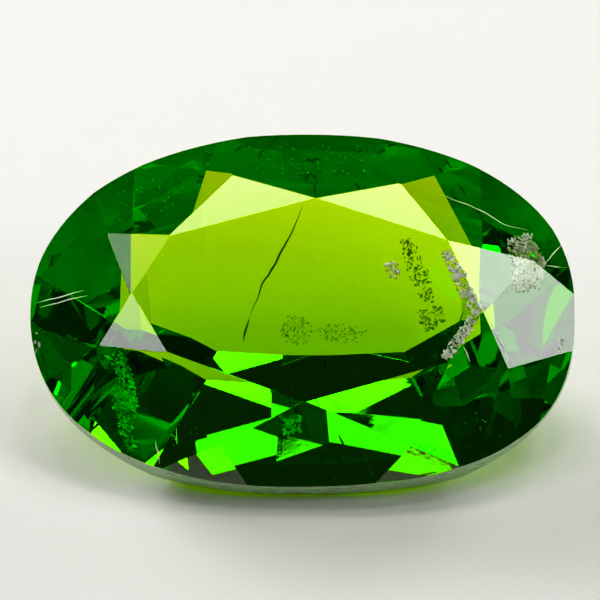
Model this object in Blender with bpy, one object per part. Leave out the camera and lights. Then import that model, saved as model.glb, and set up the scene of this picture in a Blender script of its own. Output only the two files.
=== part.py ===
"""Faceted oval chrome diopside: one loose, cut and polished stone, lying on its lower pavilion facet.

The stone is ground the way a cutter does it. A straight prism with the oval outline of the girdle
is the preform, and each facet is one flat cut that takes away what stands outside it. A facet is
given by its index (the compass direction it faces, counted from the long axis), its slope (how far
it is tipped from the table) and its reach (how far out it crosses its starting height).

While it is cut, the stone stands table up: X runs along the long axis, Z points out of the table,
and Z = 0 is the top of the girdle. At the end it is laid down on its resting facet, which is the
middle one of the lower side of the pavilion.
"""

import math

import bmesh
import bpy
from mathutils import Matrix, Vector

MM = 0.001

# Driving dimensions, in millimetres
LENGTH = 6.0
WIDTH = 4.0
CROWN_HEIGHT = 0.50
GIRDLE_THICKNESS = 0.34
PAVILION_DEPTH = 1.31

# Fullness of the oval in each quarter: 2 is a true ellipse, more is squarer at the shoulder
FULLNESS = {
    "upper_right": 2.20,
    "upper_left": 2.15,
    "lower_left": 2.25,
    "lower_right": 2.60,
}
SIDES_PER_QUARTER = 26

# Crown mains: index and slope in degrees, reach in millimetres at the top of the girdle
CROWN_MAINS = [
    (88, 31.5, 1.95),
    (118, 28.5, 2.23),
    (166, 26.0, 2.84),
    (244, 24.5, 2.28),
    (267, 32.0, 1.96),
    (304, 26.5, 2.52),
    (350, 27.5, 2.955),
    (54, 29.5, 2.35),
]

# Stars: index and slope, reach at the height of the table
STARS = [
    (104.5, 18.0, 1.05),
    (147.5, 19.0, 1.59),
    (210, 9.8, 1.56),
    (249, 22.0, 1.075),
    (285.5, 18.0, 1.14),
    (325.5, 19.0, 1.74),
    (24.5, 16.5, 1.735),
    (71.5, 16.5, 1.125),
]

# Crown breaks, one between each two mains: index and slope, reach at the top of the girdle
CROWN_BREAKS = [
    (107, 35.5, 2.065),
    (145, 33.5, 2.63),
    (208.5, 36.5, 2.72),
    (261, 34.5, 2.005),
    (280, 39.5, 2.11),
    (329, 36.0, 2.76),
    (18, 38.5, 2.91),
    (70.5, 36.0, 2.105),
]

# Pavilion: index and slope, reach at the bottom of the girdle. The resting facet is the narrow one in
# the middle of the lower side, between the first two mains.
PAVILION_RESTING = (270, 36.0, 2.14)
PAVILION_MAINS = [
    (265, 36.0, 2.16),
    (275, 36.0, 2.16),
    (320, 38.0, 2.68),
    (222, 36.0, 2.70),
    (180, 42.0, 2.92),
    (0, 43.0, 2.92),
    (88, 32.0, 1.75),
    (75, 35.0, 1.98),
    (104, 34.0, 1.96),
    (135, 41.0, 2.40),
    (45, 41.0, 2.45),
]

PLANE_GRIP = 0.002
SHORTEST_EDGE = 0.006


def outline_point(angle):
    """Point of the girdle's outline, an oval whose fullness differs from quarter to quarter."""
    c, s = math.cos(angle), math.sin(angle)
    side = "right" if c >= 0 else "left"
    end = "upper" if s >= 0 else "lower"
    power = 2.0 / FULLNESS[f"{end}_{side}"]
    x = LENGTH / 2 * math.copysign(abs(c) ** power, c)
    y = WIDTH / 2 * math.copysign(abs(s) ** power, s)
    return x, y


def make_preform():
    """The prism that the stone is cut from, with the girdle's outline."""
    bm = bmesh.new()
    count = 4 * SIDES_PER_QUARTER
    low = -(GIRDLE_THICKNESS + 2 * PAVILION_DEPTH)
    high = 2 * CROWN_HEIGHT
    ring = [outline_point(2 * math.pi * i / count) for i in range(count)]
    bottom = [bm.verts.new((x, y, low)) for x, y in ring]
    top = [bm.verts.new((x, y, high)) for x, y in ring]
    bm.faces.new(top)
    bm.faces.new(reversed(bottom))
    for i in range(count):
        j = (i + 1) % count
        bm.faces.new((bottom[i], bottom[j], top[j], top[i]))
    return bm


def cut(bm, point, normal):
    """Grinds one facet: everything past the plane goes, and the cut is closed with a flat face."""
    parts = bm.verts[:] + bm.edges[:] + bm.faces[:]
    done = bmesh.ops.bisect_plane(
        bm, geom=parts, dist=PLANE_GRIP, plane_co=point, plane_no=normal, clear_outer=True
    )
    rim = [e for e in done["geom_cut"] if isinstance(e, bmesh.types.BMEdge) and e.is_boundary]
    if rim:
        bmesh.ops.edgeloop_fill(bm, edges=rim)


def facet_plane(index, slope, reach, height, side):
    """Point and outward normal of a facet. side is 1 on the crown and -1 on the pavilion."""
    turn, tip = math.radians(index), math.radians(slope)
    outward = Vector((math.cos(turn), math.sin(turn), 0))
    normal = outward * math.sin(tip) + Vector((0, 0, side * math.cos(tip)))
    return outward * reach + Vector((0, 0, height)), normal


def grind_stone():
    """The whole stone, table up, in millimetres."""
    bm = make_preform()
    cut(bm, Vector((0, 0, CROWN_HEIGHT)), Vector((0, 0, 1)))
    for row in CROWN_MAINS:
        cut(bm, *facet_plane(*row, 0, 1))
    for row in CROWN_BREAKS:
        cut(bm, *facet_plane(*row, 0, 1))
    for row in STARS:
        cut(bm, *facet_plane(*row, CROWN_HEIGHT, 1))
    for row in [PAVILION_RESTING] + PAVILION_MAINS:
        cut(bm, *facet_plane(*row, -GIRDLE_THICKNESS, -1))
    bmesh.ops.remove_doubles(bm, verts=bm.verts[:], dist=SHORTEST_EDGE)
    bmesh.ops.dissolve_degenerate(bm, edges=bm.edges[:], dist=SHORTEST_EDGE)
    bmesh.ops.recalc_face_normals(bm, faces=bm.faces[:])
    return bm


def lay_down(bm):
    """Turns the stone about its long axis onto the resting facet, and puts it on Z = 0."""
    index, slope, reach = PAVILION_RESTING
    point, normal = facet_plane(index, slope, reach, -GIRDLE_THICKNESS, -1)
    turn = normal.rotation_difference(Vector((0, 0, -1))).to_matrix().to_4x4()
    bm.transform(turn)
    xs = [v.co.x for v in bm.verts]
    ys = [v.co.y for v in bm.verts]
    zs = [v.co.z for v in bm.verts]
    middle = Vector(((min(xs) + max(xs)) / 2, (min(ys) + max(ys)) / 2, min(zs)))
    bm.transform(Matrix.Translation(-middle))
    bm.transform(Matrix.Scale(MM, 4))


def stone_material():
    """Clear chrome green."""
    material = bpy.data.materials.new("chrome_green")
    material.use_nodes = True
    shader = material.node_tree.nodes["Principled BSDF"]
    shader.inputs["Base Color"].default_value = (0.10, 0.62, 0.02, 1)
    shader.inputs["Roughness"].default_value = 0.03
    shader.inputs["Metallic"].default_value = 0.0
    shader.inputs["IOR"].default_value = 1.68
    shader.inputs["Transmission Weight"].default_value = 1.0
    return material


def make_stone():
    """The stone as one named object, with every facet flat."""
    bm = grind_stone()
    lay_down(bm)
    mesh = bpy.data.meshes.new("chrome_diopside")
    bm.to_mesh(mesh)
    bm.free()
    mesh.materials.append(stone_material())
    stone = bpy.data.objects.new("chrome_diopside", mesh)
    bpy.context.scene.collection.objects.link(stone)
    return stone


def main():
    for old in list(bpy.data.objects):
        bpy.data.objects.remove(old)
    make_stone()


main()
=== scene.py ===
# %% [markdown]
# A cut gemstone is the plainest of shapes and the hardest of materials: a few dozen flat facets
# on one clear crystal, in which light is bent, thrown back and coloured. The flat facets come
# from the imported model, which is loaded first and stays where it is. Everything else in this
# lesson is placed around it.

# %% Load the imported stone
import math

import bmesh
import bpy
from mathutils import Matrix, Vector
from mathutils.bvhtree import BVHTree


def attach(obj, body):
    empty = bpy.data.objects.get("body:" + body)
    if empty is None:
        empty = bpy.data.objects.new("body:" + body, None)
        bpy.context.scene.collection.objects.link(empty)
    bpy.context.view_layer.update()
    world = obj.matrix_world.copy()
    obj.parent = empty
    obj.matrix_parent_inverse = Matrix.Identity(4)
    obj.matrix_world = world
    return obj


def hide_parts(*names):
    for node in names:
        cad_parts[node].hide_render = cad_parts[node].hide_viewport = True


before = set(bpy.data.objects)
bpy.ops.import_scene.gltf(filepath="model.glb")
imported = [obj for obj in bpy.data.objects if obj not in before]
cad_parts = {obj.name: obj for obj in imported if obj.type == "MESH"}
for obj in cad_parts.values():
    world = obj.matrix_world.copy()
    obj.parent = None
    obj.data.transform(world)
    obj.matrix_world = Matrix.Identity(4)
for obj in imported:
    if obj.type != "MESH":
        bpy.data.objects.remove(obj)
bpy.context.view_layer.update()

MM = 0.001
NODE = "chrome_diopside"
BODY = "root"

# %% [markdown]
# The model holds loose triangles. Welding their corners and dissolving the edges that lie flat
# gives the facets back as single faces, which is how a cutter counts them. The largest face that
# looks up is the table. The stone's own directions follow from it: along the stone, across it,
# and out of the table.

# %% Read the facets
WELD = 0.002 * MM
FLAT_WITHIN = math.radians(0.6)
LOOKS_UP = 0.5


def read_facets():
    """The stone as a closed mesh with one face for each facet."""
    shape = bmesh.new()
    shape.from_mesh(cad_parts[NODE].data)
    bmesh.ops.remove_doubles(shape, verts=shape.verts[:], dist=WELD)
    bmesh.ops.dissolve_limit(
        shape, angle_limit=FLAT_WITHIN, verts=shape.verts[:], edges=shape.edges[:]
    )
    return shape


facets = read_facets()
table = max((f for f in facets.faces if f.normal.z > LOOKS_UP), key=lambda f: f.calc_area())
OUT = table.normal.normalized()
ALONG = Vector((1, 0, 0))
ACROSS = OUT.cross(ALONG).normalized()
print("facets and girdle sides:", len(facets.faces))
print("table leans by", round(math.degrees(math.acos(OUT.z)), 2), "degrees")

# %% [markdown]
# The stone's own zero point is the middle of the girdle, at its upper edge. It is found by
# measuring the stone along its own three directions, so only the height of the crown has to be
# typed in.

# %% Find the middle of the girdle
CROWN_HEIGHT = 0.50 * MM


def middle_along(direction):
    """Middle of the stone's reach in one direction."""
    reach = [v.co.dot(direction) for v in facets.verts]
    return (min(reach) + max(reach)) / 2


table_level = table.calc_center_median().dot(OUT)
CENTRE = (
    ALONG * middle_along(ALONG)
    + ACROSS * middle_along(ACROSS)
    + OUT * (table_level - CROWN_HEIGHT)
)
print("girdle middle in mm:", [round(v / MM, 3) for v in CENTRE])

# %% [markdown]
# The camera looks at the table almost straight on: it is tipped a little below the table's own
# direction, so that the lower girdle just shows, and turned slightly to the right. A long lens
# keeps the facets parallel, as a close photograph through a macro lens does. The scale is the
# number of photograph pixels to a millimetre of stone.

# %% Set the camera
IMAGE_SIDE = 600
PIXELS_PER_MM = 90.8
MIDDLE_PX = (302, 309)
TIP = math.radians(14)
TURN = math.radians(2)
LENS = 400
SENSOR = 36

TOWARD = (
    ALONG * math.sin(TURN) * math.cos(TIP)
    - ACROSS * math.sin(TIP)
    + OUT * math.cos(TURN) * math.cos(TIP)
)
RIGHT = ALONG * math.cos(TURN) - OUT * math.sin(TURN)
UP = TOWARD.cross(RIGHT)
PIXEL = MM / PIXELS_PER_MM
DISTANCE = IMAGE_SIDE * PIXEL * LENS / SENSOR
NEAREST_SEEN = DISTANCE / 10
FARTHEST_SEEN = 1.0


def make_camera():
    """The camera, placed so that the stone's middle falls on MIDDLE_PX."""
    data = bpy.data.cameras.new("camera")
    data.lens = LENS
    data.sensor_width = SENSOR
    data.clip_start = NEAREST_SEEN
    data.clip_end = FARTHEST_SEEN
    camera = bpy.data.objects.new("camera", data)
    half = IMAGE_SIDE / 2
    offset = RIGHT * (half - MIDDLE_PX[0]) + UP * (MIDDLE_PX[1] - half)
    camera.location = CENTRE + offset * PIXEL + TOWARD * DISTANCE
    camera.rotation_mode = "QUATERNION"
    camera.rotation_quaternion = Matrix((RIGHT, UP, TOWARD)).transposed().to_quaternion()
    bpy.context.scene.collection.objects.link(camera)
    bpy.context.scene.camera = camera
    return camera


camera = make_camera()
print("camera looks down by", round(math.degrees(math.asin(TOWARD.z)), 1), "degrees")

# %% [markdown]
# Everything seen inside the stone is seen through a facet, bent by it. Two helpers turn a place
# in the photograph into a place in the stone: the first follows the line of sight to the facet
# that it meets, and the second bends it there and goes on to a given depth.

# %% Follow a line of sight into the stone
STONE_IOR = 1.68
SLIDE = 0.005
eye_tree = BVHTree.FromBMesh(facets)


def seen_facet(px, py):
    """Point and outward normal of the facet that shows at a pixel, and the line of sight to it.

    A pixel just off the stone slides towards its middle until it meets the stone.
    """
    half = IMAGE_SIDE / 2
    point = None
    while point is None:
        aim = (RIGHT * (px - half) + UP * (half - py)) * PIXEL - TOWARD * DISTANCE
        sight = aim.normalized()
        point, normal, _, _ = eye_tree.ray_cast(camera.location, sight)
        px += (MIDDLE_PX[0] - px) * SLIDE
        py += (MIDDLE_PX[1] - py) * SLIDE
    return point, normal, sight


def inside(px, py, depth):
    """Point in the stone at a depth in millimetres along the bent line of sight."""
    point, normal, sight = seen_facet(px, py)
    cosine = -sight.dot(normal)
    bent = math.sqrt(1 - (1 - cosine * cosine) / STONE_IOR**2)
    inward = sight / STONE_IOR + normal * (cosine / STONE_IOR - bent)
    return point + inward * depth * MM


print("a point under the table in mm:", [round(v / MM, 3) for v in inside(300, 300, 1.0)])

# %% [markdown]
# The stage is a plain pale floor. It lies a hair below the stone, because a polished facet never
# quite touches what it lies on: the film of air keeps the facet a mirror from inside, and without
# it the lower half of the stone would go dark.

# %% Lay the floor
AIR_GAP = 0.02 * MM
FLOOR_SIDE = 1.2
FLOOR_COLOUR = (0.80, 0.79, 0.77, 1)
FLOOR_ROUGHNESS = 0.85


def make_floor():
    """One square sheet, which belongs to the stage and not to the stone."""
    shape = bmesh.new()
    bmesh.ops.create_grid(shape, x_segments=1, y_segments=1, size=FLOOR_SIDE / 2)
    bmesh.ops.translate(shape, verts=shape.verts[:], vec=(0, 0, -AIR_GAP))
    mesh = bpy.data.meshes.new("floor")
    shape.to_mesh(mesh)
    shape.free()
    material = bpy.data.materials.new("floor_paper")
    material.use_nodes = True
    shader = material.node_tree.nodes["Principled BSDF"]
    shader.inputs["Base Color"].default_value = FLOOR_COLOUR
    shader.inputs["Roughness"].default_value = FLOOR_ROUGHNESS
    mesh.materials.append(material)
    floor = bpy.data.objects.new("floor", mesh)
    bpy.context.scene.collection.objects.link(floor)


make_floor()
print("floor lies below the stone by", AIR_GAP / MM, "mm")

# %% [markdown]
# The light is that of a small table-top studio: soft panels over, behind and beside the stone,
# with a dim room around them. A polished facet shows whatever it points at, so each panel has a
# job. The pavilion throws the three panels overhead back as the bright green strips. The five
# that are named after a star facet are each mirrored by that one, and turn it pale. The one on
# the right does the same for the large facet at the right end. The rest stand behind the stone,
# on both sides. They fill the room, and light the floor that is seen through the table. A single
# large lamp would be simpler, but it would light every facet alike, and a cut stone lives on the
# difference between one facet and the next.

# %% Hang the light panels
PANEL_DISTANCE = 0.12
PANELS = {
    "over_left": {"toward": (-0.30, -0.10, 1.0), "size": (0.024, 0.024), "glow": 1.6},
    "over_middle": {"toward": (-0.10, 0.15, 1.0), "size": (0.024, 0.012), "glow": 1.6},
    "over_right": {"toward": (0.10, -0.10, 1.0), "size": (0.024, 0.024), "glow": 1.6},
    "star_upper_left": {"toward": (-0.17, 0.25, 1.0), "size": (0.020, 0.018), "glow": 5.0},
    "star_upper_right": {"toward": (0.13, 0.20, 1.0), "size": (0.018, 0.024), "glow": 5.5},
    "star_left": {"toward": (-0.59, 0.06, 1.0), "size": (0.022, 0.022), "glow": 2.5},
    "star_lower_left": {"toward": (-0.39, -0.60, 1.0), "size": (0.026, 0.026), "glow": 4.5},
    "star_right": {"toward": (0.49, -0.10, 1.0), "size": (0.018, 0.030), "glow": 7.5},
    "right": {"toward": (0.78, -0.29, 0.56), "size": (0.034, 0.034), "glow": 6.0},
    "back_right": {"toward": (0.45, 0.32, 1.0), "size": (0.040, 0.024), "glow": 5.0},
    "back_left": {"toward": (-0.60, 0.70, 0.35), "size": (0.050, 0.050), "glow": 5.0},
    "far_back_right": {"toward": (0.60, 0.70, 0.35), "size": (0.050, 0.050), "glow": 6.0},
    "side_left": {"toward": (-0.78, 0.52, 0.35), "size": (0.050, 0.050), "glow": 12.0},
}
ROOM_GLOW = 0.03


def hang_panel(name, toward, size, glow):
    """A soft panel, wide and high as size says, whose brightness is glow."""
    data = bpy.data.lights.new(name, "AREA")
    data.shape = "RECTANGLE"
    data.size, data.size_y = size
    data.energy = glow * math.pi * size[0] * size[1]
    panel = bpy.data.objects.new(name, data)
    way = Vector(toward).normalized()
    panel.location = way * PANEL_DISTANCE
    panel.rotation_mode = "QUATERNION"
    panel.rotation_quaternion = way.to_track_quat("Z", "Y")
    panel.visible_camera = False
    bpy.context.scene.collection.objects.link(panel)


for name, row in PANELS.items():
    hang_panel(name, **row)
room = bpy.data.worlds.new("room")
room.use_nodes = True
room.node_tree.nodes["Background"].inputs["Color"].default_value = (1, 1, 1, 1)
room.node_tree.nodes["Background"].inputs["Strength"].default_value = ROOM_GLOW
bpy.context.scene.world = room
print("panels:", ", ".join(PANELS))

# %% [markdown]
# Light that enters the stone bounces many times before it finds a way out, so the render is
# allowed many turns. The plain sampling pattern keeps a fine maze of grain off the facets that
# mirror and let light through at once. The greens in the photograph are purer than the eye would
# see them, as photographs often strengthen colours. One colour correction after the render does
# the same. Several of its inputs are called Saturation, so the one for the whole picture is named
# by its place.

# %% Let light bounce and strengthen the colours
BOUNCES = 20
COLOUR_STRENGTH = 1.45
WHOLE_PICTURE_SATURATION = 2
scene = bpy.context.scene
scene.cycles.max_bounces = BOUNCES
scene.cycles.transmission_bounces = BOUNCES
scene.cycles.glossy_bounces = BOUNCES
scene.cycles.sampling_pattern = "TABULATED_SOBOL"
scene.view_settings.view_transform = "Standard"
scene.view_settings.look = "Medium High Contrast"
scene.use_nodes = True
after = scene.node_tree
after.nodes.clear()
rendered = after.nodes.new("CompositorNodeRLayers")
stronger = after.nodes.new("CompositorNodeColorCorrection")
stronger.inputs[WHOLE_PICTURE_SATURATION].default_value = COLOUR_STRENGTH
shown = after.nodes.new("CompositorNodeComposite")
after.links.new(rendered.outputs["Image"], stronger.inputs["Image"])
after.links.new(stronger.outputs["Image"], shown.inputs["Image"])
print("bounces:", BOUNCES, "and colour strength:", COLOUR_STRENGTH)

# %% [markdown]
# The crystal takes its colour from its depth. Chrome soaks up blue at once and red more slowly,
# so a thin part is yellow-green and a long path is pure deep green. A colour painted on the
# surface could not do that, so it is a plain absorption volume. The surface itself is clear and
# colourless where it is polished. It is whitish and lets less light through where it is ground or
# broken.

# %% Make the crystal
CLEAR = (1, 1, 1, 1)
CRYSTAL_TINT = (0.80, 0.935, 0.0, 1)
CRYSTAL_DENSITY = 2000


def crystal_material(name, clearness=1.0, colour=CLEAR):
    """Crystal whose surface lets the share clearness of the light through."""
    material = bpy.data.materials.new(name)
    material.use_nodes = True
    tree = material.node_tree
    shader = tree.nodes["Principled BSDF"]
    shader.inputs["Base Color"].default_value = colour
    shader.inputs["IOR"].default_value = STONE_IOR
    shader.inputs["Transmission Weight"].default_value = clearness
    depth_colour = tree.nodes.new("ShaderNodeVolumeAbsorption")
    depth_colour.inputs["Color"].default_value = CRYSTAL_TINT
    depth_colour.inputs["Density"].default_value = CRYSTAL_DENSITY
    output = tree.nodes["Material Output"]
    tree.links.new(depth_colour.outputs["Volume"], output.inputs["Volume"])
    return material


polished = crystal_material("polished_crystal")
frosted = crystal_material("frosted_girdle", clearness=0.5, colour=(0.70, 0.90, 0.64, 1))
broken = crystal_material("broken_crystal", clearness=0.12, colour=(0.93, 0.97, 0.88, 1))
print("crystal bends light by", STONE_IOR, "and is tinted", CRYSTAL_TINT[:3])

# %% [markdown]
# A polishing wheel leaves hair-fine parallel lines, and years of handling leave a faint haze.
# Both are far too shallow to model, so they are in the material: a stretched noise tilts the
# surface by a trace, and a broad noise makes a few places less than perfectly sharp. The broken
# and the ground parts get a grain of their own.

# %% Add polish lines, haze and grain
def stretched_noise(tree, per_mm, stretch=(1.0, 1.0, 1.0), turn=(0.0, 0.0, 0.0), detail=3.0):
    """Noise on the piece's own coordinates with per_mm grains to the millimetre.

    A small number in stretch draws the grain out along that axis, and turn turns it.
    """
    place = tree.nodes.new("ShaderNodeTexCoord")
    lay = tree.nodes.new("ShaderNodeMapping")
    lay.inputs["Rotation"].default_value = turn
    lay.inputs["Scale"].default_value = [s * per_mm / MM for s in stretch]
    noise = tree.nodes.new("ShaderNodeTexNoise")
    noise.inputs["Scale"].default_value = 1.0
    noise.inputs["Detail"].default_value = detail
    tree.links.new(place.outputs["Object"], lay.inputs["Vector"])
    tree.links.new(lay.outputs["Vector"], noise.inputs["Vector"])
    return noise.outputs["Fac"]


def between(tree, value, low, high, start, end):
    """Stretch a value from low..high to start..end."""
    node = tree.nodes.new("ShaderNodeMapRange")
    node.inputs["From Min"].default_value = low
    node.inputs["From Max"].default_value = high
    node.inputs["To Min"].default_value = start
    node.inputs["To Max"].default_value = end
    tree.links.new(value, node.inputs["Value"])
    return node.outputs["Result"]


def tilt_surface(material, height, strength, depth):
    """Tilt the surface by a height that is depth millimetres at most."""
    tree = material.node_tree
    bump = tree.nodes.new("ShaderNodeBump")
    bump.inputs["Strength"].default_value = strength
    bump.inputs["Distance"].default_value = depth * MM
    tree.links.new(height, bump.inputs["Height"])
    shader = tree.nodes["Principled BSDF"]
    tree.links.new(bump.outputs["Normal"], shader.inputs["Normal"])


def set_roughness(material, value):
    """Let a value that varies over the surface be its roughness."""
    shader = material.node_tree.nodes["Principled BSDF"]
    material.node_tree.links.new(value, shader.inputs["Roughness"])


POLISH_LINES = {"per_mm": 14, "stretch": (1.0, 0.05, 1.0), "turn": (0.3, 0.0, 0.5)}
HAZE = {"per_mm": 1.6, "detail": 6.0}
GRINDING_MARKS = {"per_mm": 18, "stretch": (0.2, 0.2, 1.0)}
CRUMB_GRAIN = {"per_mm": 30, "detail": 5.0}

lines = stretched_noise(polished.node_tree, **POLISH_LINES)
tilt_surface(polished, lines, strength=0.03, depth=0.002)
haze = stretched_noise(polished.node_tree, **HAZE)
hazy = between(polished.node_tree, haze, low=0.55, high=0.75, start=0.0, end=0.05)
set_roughness(polished, hazy)

ground = stretched_noise(frosted.node_tree, **GRINDING_MARKS)
dull = between(frosted.node_tree, ground, low=0.3, high=0.7, start=0.22, end=0.5)
set_roughness(frosted, dull)
tilt_surface(frosted, ground, strength=0.5, depth=0.004)

crumb = stretched_noise(broken.node_tree, **CRUMB_GRAIN)
rough = between(broken.node_tree, crumb, low=0.3, high=0.7, start=0.12, end=0.6)
set_roughness(broken, rough)
tilt_surface(broken, crumb, strength=0.8, depth=0.006)
print("grain of the finishes to the mm:", POLISH_LINES["per_mm"], GRINDING_MARKS["per_mm"])

# %% [markdown]
# A natural crystal is never empty. Under the table runs a fine crack, beside it lie feathers,
# which are healed breaks, and pinpoints are scattered over the outer facets. They are too fine to
# cut into the stone, so they are made of thin flakes and threads that lie inside it or half sunk
# in a facet. Each kind is scattered by rule, so Geometry Nodes make them, from a guide mesh drawn
# along the line of sight.

# %% Build a node tree that scatters flakes
FLAKE_INPUTS = (
    ("Flakes per square mm", "NodeSocketFloat"),
    ("Flake size", "NodeSocketFloat"),
    ("Flatness", "NodeSocketFloat"),
    ("Depth spread", "NodeSocketFloat"),
    ("Seed", "NodeSocketInt"),
    ("Finish", "NodeSocketMaterial"),
)
SQUARE_MM_PER_SQUARE_METRE = 1e6
FLAKE_WIDTH = 0.7
SMALLEST_FLAKE = 0.3


def new_tree(name, inputs):
    """An empty node tree with a geometry socket and the named inputs."""
    tree = bpy.data.node_groups.new(name, "GeometryNodeTree")
    tree.interface.new_socket("Guide", in_out="INPUT", socket_type="NodeSocketGeometry")
    for label, kind in inputs:
        tree.interface.new_socket(label, in_out="INPUT", socket_type=kind)
    tree.interface.new_socket("Geometry", in_out="OUTPUT", socket_type="NodeSocketGeometry")
    return tree, tree.nodes.new("NodeGroupInput"), tree.nodes.new("NodeGroupOutput")


def random_vector(tree, low, high):
    """A random vector whose three numbers all lie between low and high."""
    node = tree.nodes.new("FunctionNodeRandomValue")
    node.data_type = "FLOAT_VECTOR"
    node.inputs["Min"].default_value = (low, low, low)
    node.inputs["Max"].default_value = (high, high, high)
    return node


def calculate(tree, kind, first, second=None):
    """One step of arithmetic on one or two values. The second may be a plain number."""
    node = tree.nodes.new("ShaderNodeMath")
    node.operation = kind
    tree.links.new(first, node.inputs[0])
    if isinstance(second, (int, float)):
        node.inputs[1].default_value = second
    elif second is not None:
        tree.links.new(second, node.inputs[1])
    return node.outputs["Value"]


def scaled(tree, vector, factor):
    """A vector made longer or shorter by a factor."""
    node = tree.nodes.new("ShaderNodeVectorMath")
    node.operation = "SCALE"
    tree.links.new(vector, node.inputs[0])
    tree.links.new(factor, node.inputs["Scale"])
    return node.outputs["Vector"]


def end_tree(tree, geometry, given, result):
    """Realize Instances and Set Material close every tree, because an export drops instances."""
    real = tree.nodes.new("GeometryNodeRealizeInstances")
    finish = tree.nodes.new("GeometryNodeSetMaterial")
    tree.links.new(geometry, real.inputs["Geometry"])
    tree.links.new(real.outputs["Geometry"], finish.inputs["Geometry"])
    tree.links.new(given.outputs["Finish"], finish.inputs["Material"])
    tree.links.new(finish.outputs["Geometry"], result.inputs["Geometry"])


def build_flake_tree():
    """Points on the guide's faces, each with a turned, flattened ball of a size of its own."""
    tree, given, result = new_tree("scatter_flakes", FLAKE_INPUTS)
    link = tree.links.new
    points = tree.nodes.new("GeometryNodeDistributePointsOnFaces")
    link(given.outputs["Guide"], points.inputs["Mesh"])
    density = calculate(
        tree, "MULTIPLY", given.outputs["Flakes per square mm"], SQUARE_MM_PER_SQUARE_METRE
    )
    link(density, points.inputs["Density"])
    link(given.outputs["Seed"], points.inputs["Seed"])
    shift = random_vector(tree, -1, 1)
    link(given.outputs["Seed"], shift.inputs["Seed"])
    spread = calculate(tree, "MULTIPLY", given.outputs["Depth spread"], MM)
    moved = tree.nodes.new("GeometryNodeSetPosition")
    link(points.outputs["Points"], moved.inputs["Geometry"])
    link(scaled(tree, shift.outputs["Value"], spread), moved.inputs["Offset"])
    flake = tree.nodes.new("GeometryNodeMeshIcoSphere")
    flake.inputs["Radius"].default_value = 1.0
    flake.inputs["Subdivisions"].default_value = 1
    turn = random_vector(tree, 0, math.tau)
    stretch = random_vector(tree, SMALLEST_FLAKE, 1)
    shape = tree.nodes.new("ShaderNodeCombineXYZ")
    shape.inputs["X"].default_value = 1.0
    shape.inputs["Y"].default_value = FLAKE_WIDTH
    link(given.outputs["Flatness"], shape.inputs["Z"])
    mixed = tree.nodes.new("ShaderNodeVectorMath")
    mixed.operation = "MULTIPLY"
    link(stretch.outputs["Value"], mixed.inputs[0])
    link(shape.outputs["Vector"], mixed.inputs[1])
    length = calculate(tree, "MULTIPLY", given.outputs["Flake size"], MM)
    size = scaled(tree, mixed.outputs["Vector"], length)
    copies = tree.nodes.new("GeometryNodeInstanceOnPoints")
    link(moved.outputs["Geometry"], copies.inputs["Points"])
    link(flake.outputs["Mesh"], copies.inputs["Instance"])
    link(turn.outputs["Value"], copies.inputs["Rotation"])
    link(size, copies.inputs["Scale"])
    end_tree(tree, copies.outputs["Instances"], given, result)
    return tree


flake_tree = build_flake_tree()
print("flake tree nodes:", len(flake_tree.nodes))

# %% [markdown]
# A crack seen on edge, a scratch and a needle are all one thing to a modeller: a fine thread
# along a path that wanders a little and thins out towards its ends. A second tree draws it from
# the edges of a guide mesh.

# %% Build a node tree that draws threads
THREAD_INPUTS = (
    ("Thickness", "NodeSocketFloat"),
    ("Wander", "NodeSocketFloat"),
    ("Bends per mm", "NodeSocketFloat"),
    ("Steps", "NodeSocketInt"),
    ("Finish", "NodeSocketMaterial"),
)
THREAD_SIDES = 5
BEND_DETAIL = 4.0
THICKNESS_AT_END = 0.12
NOISE_MIDDLE = (0.5, 0.5, 0.5)


def build_thread_tree():
    """A tube along the guide's edges that wanders with a noise and thins out at both ends."""
    tree, given, result = new_tree("draw_threads", THREAD_INPUTS)
    link = tree.links.new
    path = tree.nodes.new("GeometryNodeMeshToCurve")
    link(given.outputs["Guide"], path.inputs["Mesh"])
    even = tree.nodes.new("GeometryNodeResampleCurve")
    link(path.outputs["Curve"], even.inputs["Curve"])
    link(given.outputs["Steps"], even.inputs["Count"])
    noise = tree.nodes.new("ShaderNodeTexNoise")
    noise.inputs["Detail"].default_value = BEND_DETAIL
    bends = calculate(tree, "MULTIPLY", given.outputs["Bends per mm"], 1 / MM)
    link(bends, noise.inputs["Scale"])
    both_ways = tree.nodes.new("ShaderNodeVectorMath")
    both_ways.operation = "SUBTRACT"
    both_ways.inputs[1].default_value = NOISE_MIDDLE
    link(noise.outputs["Color"], both_ways.inputs[0])
    farthest = calculate(tree, "MULTIPLY", given.outputs["Wander"], MM)
    wander = scaled(tree, both_ways.outputs["Vector"], farthest)
    moved = tree.nodes.new("GeometryNodeSetPosition")
    link(even.outputs["Curve"], moved.inputs["Geometry"])
    link(wander, moved.inputs["Offset"])
    along = tree.nodes.new("GeometryNodeSplineParameter")
    half_turn = calculate(tree, "MULTIPLY", along.outputs["Factor"], math.pi)
    swell = calculate(tree, "SINE", half_turn)
    fullness = calculate(tree, "ADD", swell, THICKNESS_AT_END)
    ring = tree.nodes.new("GeometryNodeCurvePrimitiveCircle")
    ring.inputs["Resolution"].default_value = THREAD_SIDES
    radius = calculate(tree, "MULTIPLY", given.outputs["Thickness"], MM / 2)
    link(radius, ring.inputs["Radius"])
    sweep = tree.nodes.new("GeometryNodeCurveToMesh")
    link(moved.outputs["Geometry"], sweep.inputs["Curve"])
    link(ring.outputs["Curve"], sweep.inputs["Profile Curve"])
    link(fullness, sweep.inputs["Scale"])
    sweep.inputs["Fill Caps"].default_value = True
    end_tree(tree, sweep.outputs["Mesh"], given, result)
    return tree


thread_tree = build_thread_tree()
print("thread tree nodes:", len(thread_tree.nodes))

# %% [markdown]
# A guide is only a drawing: a patch of faces for flakes and a chain of edges for threads. The
# tree runs on it once, its result is kept as a plain mesh, and the guide is thrown away.

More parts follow.
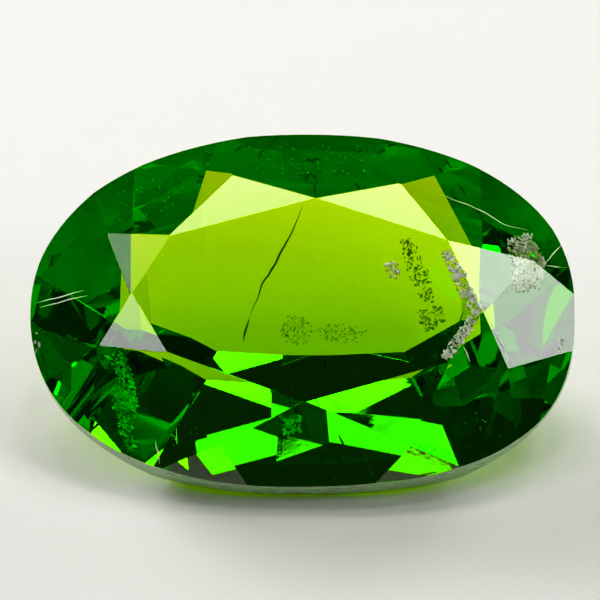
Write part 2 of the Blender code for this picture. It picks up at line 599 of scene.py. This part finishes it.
# %% Draw guides and run the trees
def patch_guide(outlines):
    """One face for each outline: a list of photograph pixels with a depth in millimetres."""
    shape = bmesh.new()
    for depth, pixels in outlines:
        shape.faces.new([shape.verts.new(inside(x, y, depth)) for x, y in pixels])
    return shape


def chain_guide(chains):
    """One chain of edges for each list of (pixel x, pixel y, depth in millimetres)."""
    shape = bmesh.new()
    for chain in chains:
        dots = [shape.verts.new(inside(*step)) for step in chain]
        for first, second in zip(dots, dots[1:]):
            shape.edges.new((first, second))
    return shape


def socket_ids(tree):
    """The identifier behind each input's label, which a modifier asks for."""
    return {
        item.name: item.identifier
        for item in tree.interface.items_tree
        if item.item_type == "SOCKET" and item.in_out == "INPUT"
    }


def run_tree(name, guide, tree, values):
    """Run a tree on a guide and keep the result as a plain mesh object."""
    mesh = bpy.data.meshes.new(name + "_guide")
    guide.to_mesh(mesh)
    guide.free()
    holder = bpy.data.objects.new(name + "_guide", mesh)
    bpy.context.scene.collection.objects.link(holder)
    modifier = holder.modifiers.new("grow", "NODES")
    modifier.node_group = tree
    ids = socket_ids(tree)
    for label, value in values.items():
        modifier[ids[label]] = value
    holder.update_tag()
    depsgraph = bpy.context.evaluated_depsgraph_get()
    grown = bpy.data.meshes.new_from_object(holder.evaluated_get(depsgraph))
    grown.name = name
    holder.modifiers.remove(modifier)
    bpy.data.objects.remove(holder)
    piece = bpy.data.objects.new(name, grown)
    bpy.context.scene.collection.objects.link(piece)
    print(name, "triangles:", sum(len(p.vertices) - 2 for p in grown.polygons))
    return piece


def grow(name, guide, tree, values):
    """A piece that rides with the stone and takes the finish that its values give it."""
    piece = run_tree(name, guide, tree, values)
    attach(piece, BODY)
    return piece


print("inputs of a flake tree:", ", ".join(socket_ids(flake_tree)))

# %% [markdown]
# A stone that has been handled has lost crumbs along its edges. Each crumb leaves a small rough
# dish that looks pale, because broken crystal scatters light. The crumbs are grown along the
# damaged edges as overlapping flakes, and then cut out of the stone, so that the damage is real
# shape.

# %% Grow the crumbs that have broken away
CRUMB_EDGES = (
    (0.0, ((441, 250), (449, 248), (461, 268), (474, 290), (485, 309), (478, 312), (463, 294),
           (450, 273))),
    (0.0, ((473, 308), (483, 309), (468, 336), (450, 359), (442, 357), (458, 332))),
    (0.0, ((520, 236), (532, 234), (544, 262), (538, 284), (528, 262))),
    (0.0, ((556, 338), (566, 336), (565, 350), (557, 352))),
    (0.0, ((32, 334), (38, 332), (40, 352), (35, 354))),
)
crumbs = run_tree(
    "crumbs",
    patch_guide(CRUMB_EDGES),
    flake_tree,
    {"Flakes per square mm": 260.0, "Flake size": 0.055, "Flatness": 0.5,
     "Depth spread": 0.008, "Seed": 21, "Finish": broken},
)

# %% [markdown]
# The stone itself keeps every facet of the model. What a polisher adds is a hair of rounding
# where two facets meet, which catches the light as a fine line. The girdle stays as it was
# ground: dull. The crumbs are cut away last, and leave their own broken finish behind.

# %% Round the facet edges and cut the crumbs
EDGE_WIDTH = 0.006 * MM
EDGE_ANGLE = math.radians(5)
GIRDLE_WITHIN = 0.1
POLISHED_PLACE = 0
FROSTED_PLACE = 1


def rounded_stone():
    """The stone with every facet edge broken by a hair, polished but for its girdle."""
    shape = facets.copy()
    sharp = [e for e in shape.edges if e.calc_face_angle(0) > EDGE_ANGLE]
    bmesh.ops.bevel(
        shape, geom=sharp, offset=EDGE_WIDTH, segments=1, affect="EDGES", clamp_overlap=True
    )
    for face in shape.faces:
        on_girdle = abs(face.normal.dot(OUT)) < GIRDLE_WITHIN
        face.material_index = FROSTED_PLACE if on_girdle else POLISHED_PLACE
    mesh = bpy.data.meshes.new("polished_stone")
    shape.to_mesh(mesh)
    shape.free()
    for finish in (polished, frosted, broken):
        mesh.materials.append(finish)
    stone = bpy.data.objects.new("polished_stone", mesh)
    bpy.context.scene.collection.objects.link(stone)
    return stone


def cut_away(piece, cutter):
    """Cut one closed shape out of another and delete it."""
    modifier = piece.modifiers.new("cut", "BOOLEAN")
    modifier.operation = "DIFFERENCE"
    modifier.solver = "EXACT"
    modifier.use_self = True
    modifier.material_mode = "TRANSFER"
    modifier.object = cutter
    depsgraph = bpy.context.evaluated_depsgraph_get()
    cut = bpy.data.meshes.new_from_object(piece.evaluated_get(depsgraph))
    piece.modifiers.remove(modifier)
    piece.data = cut
    bpy.data.objects.remove(cutter)


def open_edges(mesh):
    """Number of edges that don't join exactly two faces."""
    shape = bmesh.new()
    shape.from_mesh(mesh)
    count = sum(1 for e in shape.edges if len(e.link_faces) != 2)
    shape.free()
    return count


stone = rounded_stone()
cut_away(stone, crumbs)
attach(stone, BODY)
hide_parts(NODE)
print("stone faces:", len(stone.data.polygons), "open edges:", open_edges(stone.data))
print("stone finishes:", [m.name for m in stone.data.materials])

# %% [markdown]
# Four finishes are enough for everything in the crystal. A crack that is seen on edge is almost
# black. Feathers and drops under the table are olive, because the light that reaches them is
# already yellow-green. A break that lies open is pale and rough, and a healed feather near a
# facet is the crystal's own green. Each one varies a little, so that no flake looks stamped out.

# %% Mix the finishes of the inclusions
DARK_UNTIL = 0.35
LIGHT_FROM = 0.65


def inclusion_finish(name, dark, light, roughness, per_mm):
    """A rough finish that varies between two colours, with per_mm patches to the millimetre."""
    material = bpy.data.materials.new(name)
    material.use_nodes = True
    tree = material.node_tree
    shader = tree.nodes["Principled BSDF"]
    shader.inputs["Roughness"].default_value = roughness
    place = tree.nodes.new("ShaderNodeTexCoord")
    noise = tree.nodes.new("ShaderNodeTexNoise")
    noise.inputs["Scale"].default_value = per_mm / MM
    ramp = tree.nodes.new("ShaderNodeValToRGB")
    ramp.color_ramp.elements[0].position = DARK_UNTIL
    ramp.color_ramp.elements[0].color = (*dark, 1)
    ramp.color_ramp.elements[1].position = LIGHT_FROM
    ramp.color_ramp.elements[1].color = (*light, 1)
    tree.links.new(place.outputs["Object"], noise.inputs["Vector"])
    tree.links.new(noise.outputs["Fac"], ramp.inputs["Fac"])
    tree.links.new(ramp.outputs["Color"], shader.inputs["Base Color"])
    return material


dark_break = inclusion_finish(
    "dark_break", dark=(0.01, 0.03, 0.0), light=(0.06, 0.12, 0.0), roughness=0.6, per_mm=8
)
olive_feather = inclusion_finish(
    "olive_feather", dark=(0.22, 0.30, 0.0), light=(0.52, 0.62, 0.03), roughness=0.6, per_mm=10
)
pale_break = inclusion_finish(
    "pale_break", dark=(0.82, 0.88, 0.76), light=(0.96, 0.98, 0.93), roughness=0.35, per_mm=12
)
green_feather = inclusion_finish(
    "green_feather", dark=(0.0, 0.25, 0.01), light=(0.12, 0.85, 0.12), roughness=0.4, per_mm=10
)
finishes = (dark_break, olive_feather, pale_break, green_feather)
print("finishes inside the crystal:", ", ".join(finish.name for finish in finishes))

# %% [markdown]
# The long crack under the table is what the eye goes to first. It starts at the upper corner of
# the table and runs down and to the left, wavering, before it fades. Lesser cracks lie above that
# corner, by the table's right edge and at the foot of the stone. A line painted on the facet
# would stay on it from every side, while a thread at its own depth shifts as a real crack does.
# Each dot of a chain is a pixel's two numbers and a depth in millimetres.

# %% Draw the dark cracks
DARK_CRACKS = (
    ((303, 205, 0.03), (296, 222, 0.05), (278, 260, 0.08), (262, 285, 0.10), (250, 318, 0.13)),
    ((250, 318, 0.13), (246, 332, 0.14), (243, 342, 0.15)),
    ((465, 310, 0.05), (456, 328, 0.08), (447, 345, 0.10)),
    ((315, 181, 0.01), (315, 197, 0.02)),
    ((338, 435, 0.10), (342, 443, 0.12), (345, 452, 0.12)),
    ((360, 450, 0.08), (368, 463, 0.10), (375, 478, 0.08)),
)
grow(
    "needle_cracks",
    chain_guide(DARK_CRACKS),
    thread_tree,
    {"Thickness": 0.022, "Wander": 0.06, "Bends per mm": 4.0, "Steps": 40, "Finish": dark_break},
)

# %% [markdown]
# Pale threads are breaks that reach the surface, and scratches in the polish. They run in the
# facet itself, at no depth, because they are bright only where light falls on them from outside.

# %% Draw the pale threads
PALE_THREADS = (
    ((436, 193, 0.0), (480, 210, 0.0), (505, 225, 0.0), (530, 231, 0.0)),
    ((485, 312, 0.0), (492, 325, 0.0), (510, 362, 0.0)),
    ((463, 345, 0.0), (470, 362, 0.0)),
    ((37, 303, 0.0), (60, 297, 0.0), (85, 290, 0.0)),
    ((40, 308, 0.0), (66, 300, 0.0), (88, 296, 0.0)),
    ((545, 262, 0.0), (553, 254, 0.0), (562, 245, 0.0)),
    ((545, 265, 0.0), (556, 267, 0.0), (567, 268, 0.0)),
    ((155, 440, 0.0), (158, 453, 0.0), (160, 465, 0.0)),
    ((515, 275, 0.0), (519, 285, 0.0), (525, 296, 0.0)),
)
grow(
    "pale_threads",
    chain_guide(PALE_THREADS),
    thread_tree,
    {"Thickness": 0.014, "Wander": 0.04, "Bends per mm": 5.0, "Steps": 30, "Finish": pale_break},
)

# %% [markdown]
# Flakes make the rest. A dark feather lies to the right of the middle and a ring of fine drops
# low under the table, both at some depth. A pale open break runs down the table's right edge, a
# green feather shaped like a leaf hangs near the left end, and pinpoints lie in the outer facets.
# These reach the surface, so their patches are drawn at no depth and spread by a hair.

# %% Scatter the flakes
FEATHERS = {
    "dark_feather": (
        olive_feather,
        {"Flakes per square mm": 1200.0, "Flake size": 0.032, "Flatness": 0.25,
         "Depth spread": 0.03, "Seed": 11},
        (
            (0.16, ((400, 240), (410, 238), (422, 262), (430, 282), (434, 300), (422, 302),
                    (412, 278), (404, 262))),
            (0.30, ((420, 308), (442, 306), (446, 322), (430, 332), (418, 322))),
        ),
    ),
    "drop_ring": (
        olive_feather,
        {"Flakes per square mm": 1500.0, "Flake size": 0.018, "Flatness": 0.5,
         "Depth spread": 0.02, "Seed": 12},
        (
            (0.40, ((280, 330), (284, 319), (295, 314), (307, 318), (311, 330), (306, 342),
                    (294, 346), (283, 342))),
            (0.45, ((312, 330), (330, 324), (352, 326), (370, 332), (352, 342), (330, 341))),
        ),
    ),
    "open_break": (
        pale_break,
        {"Flakes per square mm": 2300.0, "Flake size": 0.038, "Flatness": 0.12,
         "Depth spread": 0.008, "Seed": 13},
        (
            (0.0, ((441, 252), (452, 250), (462, 268), (473, 290), (486, 308), (472, 313),
                    (460, 295), (450, 273))),
            (0.0, ((472, 308), (484, 310), (470, 334), (450, 360), (440, 356), (459, 330))),
            (0.0, ((507, 240), (528, 233), (545, 262), (540, 290), (515, 292), (510, 262))),
            (0.0, ((385, 264), (397, 261), (401, 276), (389, 281))),
        ),
    ),
    "leaf_feather": (
        green_feather,
        {"Flakes per square mm": 1500.0, "Flake size": 0.045, "Flatness": 0.12,
         "Depth spread": 0.01, "Seed": 14},
        (
            (0.0, ((106, 356), (122, 352), (134, 378), (138, 404), (132, 430), (118, 424),
                    (112, 398), (118, 376))),
            (0.0, ((120, 430), (130, 430), (138, 456), (130, 458))),
            (0.0, ((280, 416), (300, 414), (302, 432), (284, 434))),
        ),
    ),
    "pinpoints": (
        green_feather,
        {"Flakes per square mm": 60.0, "Flake size": 0.012, "Flatness": 0.8,
         "Depth spread": 0.01, "Seed": 15},
        (
            (0.0, ((100, 200), (130, 178), (180, 176), (190, 200), (160, 214), (118, 230))),
            (0.0, ((245, 144), (380, 144), (376, 170), (318, 180), (250, 172))),
            (0.0, ((462, 404), (500, 404), (502, 440), (468, 444))),
            (0.0, ((160, 420), (200, 424), (214, 468), (178, 466))),
        ),
    ),
}
for name, (finish, values, outlines) in FEATHERS.items():
    grow(name, patch_guide(outlines), flake_tree, {**values, "Finish": finish})
